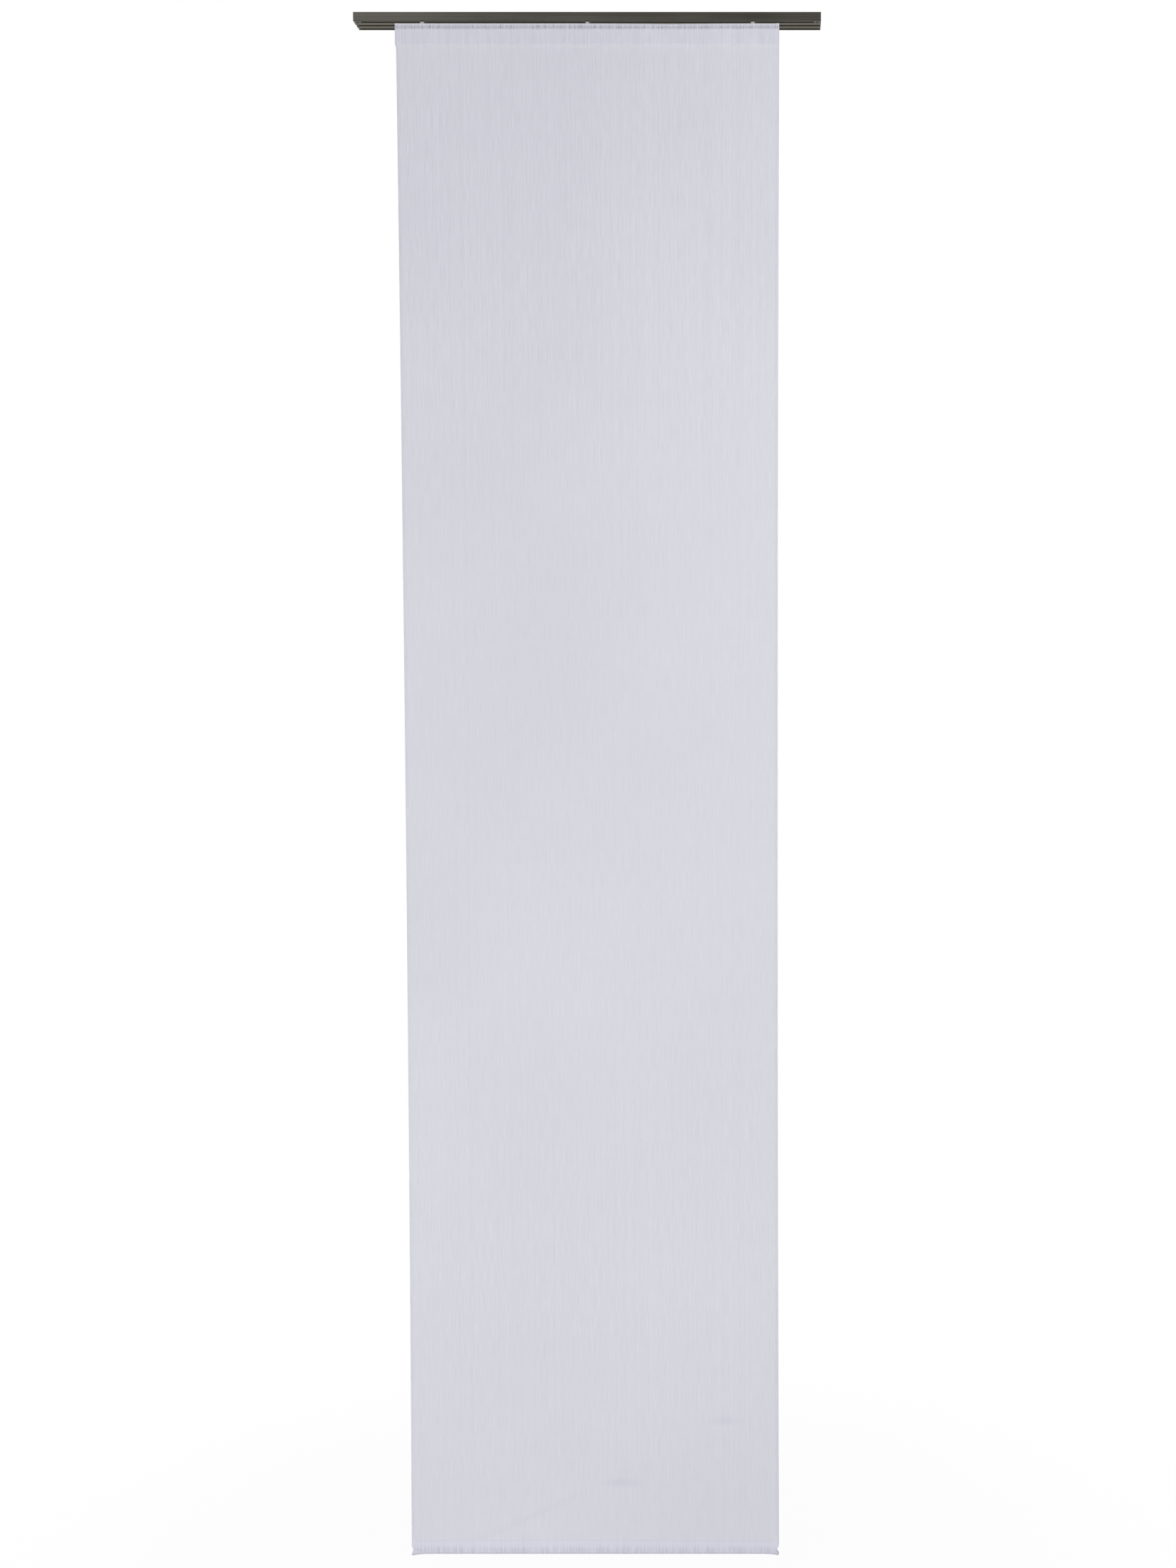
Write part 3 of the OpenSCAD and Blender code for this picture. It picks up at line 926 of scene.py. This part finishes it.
# %% Make the cloth
cloth_form = bmesh.new()
cloth_uv = cloth_form.loops.layers.uv.new("cut")
cloth_yarn = cloth_form.verts.layers.float.new("yarn")
cloth_crisp = cloth_form.verts.layers.float.new("crisp")
cloth_dent = cloth_form.verts.layers.float.new("dent")
bmesh.ops.create_grid(cloth_form, x_segments=len(columns) - 1, y_segments=len(cut_line) - 1, size=1.0)
flat_place = {}
for vert in cloth_form.verts:
    column = round((vert.co.x + 1) / 2 * (len(columns) - 1))
    row = round((vert.co.y + 1) / 2 * (len(cut_line) - 1))
    across, along = columns[column], row_lengths[row]
    height = heights[row] - FOLD
    crisp = crisp_at(height)
    thickness = 0.5 + crisp * (yarn_at(column, along) - 0.5)
    on_face = smooth(0.2, 0.8, -row_normals[row].x)
    vert[cloth_yarn] = thickness
    vert[cloth_crisp] = crisp
    # The dent mask is kept for the painted shade that darkens the cloth's colour in the dents.
    vert[cloth_dent] = dented(across, height)
    flat_place[vert] = (across, along)
    vert.co = hang(across, along, rib_height_at(height) * thickness * on_face)
for face in cloth_form.faces:
    face.smooth = True
    for loop in face.loops:
        loop[cloth_uv].uv = flat_place[loop.vert]
cloth_form.normal_update()
mid_front = Vector((0, FRONT, -1.2))
middle_face = min(cloth_form.faces, key=lambda face: (face.calc_center_median() - mid_front).length)
if middle_face.normal.y > 0:
    bmesh.ops.reverse_faces(cloth_form, faces=cloth_form.faces)
cloth_mesh = bpy.data.meshes.new("panel_cloth")
cloth_form.to_mesh(cloth_mesh)
cloth_form.free()
print("cloth has", len(cloth_mesh.polygons), "faces before it gets its thickness")

# %% [markdown]
# ### A piece of the panel
# The grid has no thickness yet, so a modifier gives it one, half to either side. The cloth takes the place of
# its plain CAD solid and rides on the panel.

# %% Give the cloth its thickness
cloth = bpy.data.objects.new("panel_cloth", cloth_mesh)
scene.collection.objects.link(cloth)
thicken = cloth.modifiers.new("cloth thickness", "SOLIDIFY")
thicken.thickness = 2 * SKIN
thicken.offset = 0.0
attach(cloth, "panel")
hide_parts("curtain_fabric")
print(cloth.name, "is", round(thicken.thickness / MM, 2), "mm thick and rides on the panel")

# %% [markdown]
# ## The cloth's finish
# Sheer cloth is a screen of yarn: part of what lies behind shows through between the yarns. Alpha says how
# much yarn covers each place. On white the panel looks even, because open places let the bright background
# through and close ones reflect the room's light; in front of the dark rail and the bar the open places show
# as streaks. First comes how closely the cloth is woven, from the ribs of the mesh and finer streaks.

# %% Read how closely the cloth is woven
RIB_SHARE = 0.42
FINE_SHARE = 0.58
sheer, tree, shader = start_finish("sheer_weave", metallic=0.0, specular=0.2)
cut_place = tree.nodes.new("ShaderNodeUVMap")
cut_place.uv_map = "cut"
weave = place_group(
    tree, yarn_weave, cut_place.outputs["UV"], warp=1500.0, weft=1200.0, streaks=900.0, draw=25.0
)


def cloth_value(tree, name):
    """Read one of the numbers that the mesh keeps at each point."""
    node = tree.nodes.new("ShaderNodeAttribute")
    node.attribute_name = name
    return node.outputs["Fac"]


contrast = remap(tree, cloth_value(tree, "crisp"), LEAST_CRISP, 1.0, 0.44, 1.0)
swing = math_node(tree, "SUBTRACT", weave["Streak"], 0.5)
fine = plus(tree, times(tree, swing, contrast), 0.5)
close = plus(tree, times(tree, cloth_value(tree, "yarn"), RIB_SHARE), times(tree, fine, FINE_SHARE))
gap = remap(tree, close, 0.2, 0.72, 1.0, 0.0)
print("ribs give", RIB_SHARE, "and fine streaks", FINE_SHARE, "of the closeness")

# %% [markdown]
# ### Hems and folds
# What changes down the length of the cloth is masked by bands round the two folds. The fold at the very top
# is close and light, and the streaks begin just below it.

# %% Mask the hems and folds
WHOLE = -20 * MM
split = tree.nodes.new("ShaderNodeSeparateXYZ")
tree.links.new(cut_place.outputs["UV"], split.inputs[0])
down = split.outputs["Y"]


def band(tree, down, fold, near, far, soft=MM):
    """Return a mask that is 1 from near to far on both sides of a fold of the cut, with soft ends."""
    off = math_node(tree, "ABSOLUTE", math_node(tree, "SUBTRACT", down, fold))
    inner = remap(tree, off, near - soft, near + soft, 0.0, 1.0)
    outer = remap(tree, off, far - soft, far + soft, 1.0, 0.0)
    return times(tree, inner, outer)


heading = band(tree, down, CROWN, 3 * MM, 8 * MM)
top_hem = band(tree, down, CROWN, WHOLE, TOP_HEM)
tunnel = band(tree, down, LOW_FOLD, WHOLE, TUNNEL + 2 * MM)
bar_pocket = band(tree, down, LOW_FOLD, WHOLE, 13 * MM, soft=3 * MM)
# This band carries the painted shade that darkens the cloth round the bar.
round_bar = band(tree, down, LOW_FOLD, WHOLE, 12 * MM, soft=8 * MM)
fold_edge = band(tree, down, LOW_FOLD, WHOLE, 3 * MM, soft=2 * MM)
doubled = math_node(tree, "MAXIMUM", times(tree, top_hem, 0.6), tunnel)
print("bands lie round", round(CROWN, 4), "and", round(LOW_FOLD, 4), "m along the cut")

# %% [markdown]
# ### What shows through
# The cloth lets a little light through everywhere, in pinholes and in the thin streaks. The heading, which
# stands free above the tape, and the pocket, which is stretched round the bar, are more open.

# %% Set how open the cloth is
PLAIN_OPEN = 0.09
HEADING_OPEN = 0.66
POCKET_OPEN = 0.20
HEADING_EVEN = 0.15
FOLD_EVEN = 0.08
loose = plus(tree, times(tree, heading, HEADING_OPEN), times(tree, bar_pocket, POCKET_OPEN))
streaked = times(tree, gap, plus(tree, loose, PLAIN_OPEN))
even = plus(tree, times(tree, heading, HEADING_EVEN), times(tree, fold_edge, FOLD_EVEN))
openness = plus(tree, streaked, even)
pinhole = remap(tree, weave["Height"], 0.0, 0.5, 0.79, 0.95)
feed(tree, shader.inputs["Alpha"], math_node(tree, "SUBTRACT", pinhole, openness))
print("plain cloth opens by up to", PLAIN_OPEN, "and the heading by", HEADING_OPEN, "more")

# %% [markdown]
# ### Its colour
# The cloth is a cool white, a little deeper in slow clouds of its own tone. Painted shade deepens it between
# the yarns and in its thin streaks, most in the top hem, in the dents, and round the bar, which with the
# bulge of its pocket shades the cloth. Where a hem doubles the cloth, its cool white is a little stronger,
# and painted light lifts it against the shade that falls between the layers. The rim of the bottom fold,
# which turns away from the light, is darker.

# %% Colour the cloth
CLOTH_WHITE = (0.699, 0.697, 0.746)
SHADE_AND_CLOUD_TONE = (0.644, 0.642, 0.7015)
DOUBLED_ADDS = (0.020, 0.020, 0.047)
RIM_SHADE = (0.80, 0.80, 0.82)
CLOUD_DEPTH = 0.35
BAR_SHADE = 0.5
YARN_RELIEF = 0.7
# Painted shade: the colour deepens between the yarns and in the thin streaks, most in the top hem.
gap_depth = remap(tree, top_hem, 0.0, 1.0, 0.10, 0.38)
between = remap(tree, weave["Height"], 0.0, 0.6, 0.8, 0.0)
shaded = plus(tree, times(tree, gap, gap_depth), between)
shade_and_cloud = plus(tree, shaded, times(tree, weave["Cloud"], CLOUD_DEPTH))
# Painted shade in the dents and round the bar, where the bar and the bulge of its pocket shade the cloth.
dent_and_bar_shade = plus(tree, cloth_value(tree, "dent"), times(tree, round_bar, BAR_SHADE))
plain = tint(tree, plus(tree, shade_and_cloud, dent_and_bar_shade), CLOTH_WHITE, SHADE_AND_CLOUD_TONE)
# Partly the doubled cloth's own cooler white, partly painted light that lifts the shade falling between its
# layers.
cooler_and_lit = tint(tree, doubled, plain, DOUBLED_ADDS, blend="ADD")
rimmed = tint(tree, fold_edge, cooler_and_lit, RIM_SHADE, blend="MULTIPLY")
feed(tree, shader.inputs["Base Color"], rimmed)
roughen(tree, shader, weave["Cloud"], 0.78, 0.92)
knit = plus(tree, times(tree, weave["Height"], YARN_RELIEF), close)
relief(tree, shader, knit, strength=0.30, distance=0.2 * MM)
shader.inputs["Sheen Weight"].default_value = 0.1
cloth_mesh.materials.append(sheer)
print("cloth finish:", sheer.name)

# %% [markdown]
# ## Stitches
# The seams are lockstitch: a row of short thread bars that dip into the cloth between them. One bar is a
# small ball, squashed later. Its operator lists the faces in another order on each run, so they are sorted
# along a slanting line, and every run gives the same mesh.

# %% Make one stitch
SORT_LINE = Vector((1.0, 0.317, 0.0713))
ball_form = bmesh.new()
bmesh.ops.create_uvsphere(ball_form, u_segments=6, v_segments=4, radius=1.0)
ball_form.verts.sort(key=lambda vert: vert.co.dot(SORT_LINE))
ball_form.edges.sort(key=lambda edge: (edge.verts[0].co + edge.verts[1].co).dot(SORT_LINE))
ball_form.faces.sort(key=lambda face: face.calc_center_median().dot(SORT_LINE))
stitch_ball = bpy.data.meshes.new("stitch_ball")
ball_form.to_mesh(stitch_ball)
ball_form.free()
print("one stitch has", len(stitch_ball.polygons), "faces")

# %% [markdown]
# ### A row of stitches
# The ball is squashed to a thread bar and laid on the flat cut. A spin without a turn repeats it along a row
# in a single step, and the row is hung with the cloth.

# %% Define a row of stitches
STITCH = 3.2 * MM
THREAD = 0.16 * MM


def sew(row_name, start, step, count, turn=0.0):
    """Make one row of stitches on the flat cut, then hang it with the cloth."""
    row = bmesh.new()
    row.from_mesh(stitch_ball)
    shape = Matrix.Diagonal((0.40 * STITCH, 1.3 * THREAD, THREAD, 1.0))
    bmesh.ops.transform(row, matrix=Matrix.Rotation(turn, 4, "Z") @ shape, verts=row.verts)
    bmesh.ops.translate(row, vec=start, verts=row.verts)
    bmesh.ops.spin(row, geom=row.verts[:] + row.edges[:] + row.faces[:], cent=start, axis=(0.0, 0.0, 1.0),
                   dvec=step, angle=0.0, steps=count - 1, use_duplicate=True)
    for vert in row.verts:
        vert.co = hang(*vert.co)
    mesh = bpy.data.meshes.new(row_name)
    row.to_mesh(mesh)
    row.free()
    return mesh


print("one stitch is", round(STITCH / MM, 1), "mm long, of thread", round(2 * THREAD / MM, 2), "mm thick")

# %% [markdown]
# ### The seams
# Two seams hold the loop tape to the heading, one closes the tunnel, and one runs down each side hem with a
# slightly longer stitch.

# %% Sew the seams
OFF_FACE = SKIN + 0.25 * MM
SEAM_END = 6 * MM
SIDE_STITCH = STITCH * 1.25
SIDE_SEAM = SIDE_FOLD - 2.9 * MM
front_top = row_lengths[front_row]
cross_seams = {
    "seam_low": front_top + TOP_HEM - 2.5 * MM,
    "seam_high": front_top + 8.5 * MM,
    "seam_tunnel": front_top + TOP - FOLD - TUNNEL - 0.6 * MM,
}
cross_step = Vector((STITCH, 0.0, 0.0))
cross_count = int((2 * HALF_WIDTH - 2 * SEAM_END) / STITCH) + 1
down_step = Vector((0.0, SIDE_STITCH, 0.0))
down_count = int((HANGING - TUNNEL - 2 * SEAM_END) / SIDE_STITCH)
seam_rows = []
for seam_name, along in cross_seams.items():
    start = Vector((SEAM_END - HALF_WIDTH, along, OFF_FACE))
    seam_rows.append(sew(seam_name, start, cross_step, cross_count))
for side in (-1, 1):
    start = Vector((side * SIDE_SEAM, front_top + TOP_HEM + SEAM_END, OFF_FACE))
    seam_rows.append(sew("seam_side", start, down_step, down_count, turn=math.radians(90)))
print("seams across have", cross_count, "stitches and those down the sides", down_count)

# %% [markdown]
# ### One piece of thread
# All the seams are joined into one piece, which rides on the panel with the cloth.

# %% Join the seams into one piece
stitch_form = bmesh.new()
for seam in seam_rows:
    stitch_form.from_mesh(seam)
bmesh.ops.recalc_face_normals(stitch_form, faces=stitch_form.faces)
for face in stitch_form.faces:
    face.smooth = True
stitch_mesh = bpy.data.meshes.new("panel_stitches")
stitch_form.to_mesh(stitch_mesh)
stitch_form.free()
stitches = bpy.data.objects.new("panel_stitches", stitch_mesh)
scene.collection.objects.link(stitches)
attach(stitches, "panel")
print("stitches have", len(stitch_mesh.polygons), "faces")

# %% [markdown]
# ### The thread
# Polyester thread is twisted from many fibres, so it has a fine grain and hardly any shine.

# %% Make the thread's material
thread_finish, tree, shader = start_finish("sewing_thread", metallic=0.0, specular=0.3)
twist = place_group(tree, moulded_skin, object_place(tree), size=4200.0)
feed(tree, shader.inputs["Base Color"], tint(tree, twist["Grain"], (0.62, 0.62, 0.68), (0.74, 0.74, 0.80)))
roughen(tree, shader, twist["Flow"], 0.62, 0.78)
relief(tree, shader, twist["Grain"], strength=0.4, distance=0.08 * MM)
stitch_mesh.materials.append(thread_finish)
print("thread finish:", thread_finish.name)
